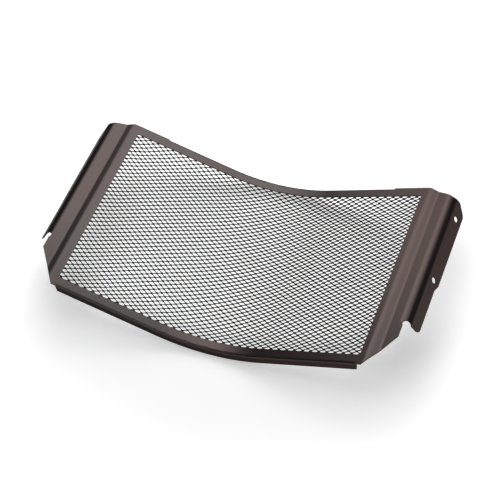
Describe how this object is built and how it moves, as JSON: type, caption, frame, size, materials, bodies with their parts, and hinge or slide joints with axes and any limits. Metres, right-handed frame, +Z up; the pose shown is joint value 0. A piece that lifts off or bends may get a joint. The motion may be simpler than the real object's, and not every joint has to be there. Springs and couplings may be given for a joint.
{
  "type": "motorbike radiator guard",
  "caption": "Curved radiator guard: a folded dark sheet-metal frame with drilled side flanges and a diamond mesh panel behind its window.",
  "frame": {"origin": "on the ground under the middle of the guard, which lies on its back with its hollow front side up", "axes": "X across the width, Y towards the top edge as mounted, Z up out of the hollow front side"},
  "size_m": [0.4128, 0.222, 0.0632],
  "materials": {
    "frame_coat": "satin brown-black powder coat",
    "mesh_coat": "satin black coat"
  },
  "bodies": {
    "root": {"frame": "frame_coat", "mesh_panel": "mesh_coat"}
  },
  "joints": []
}
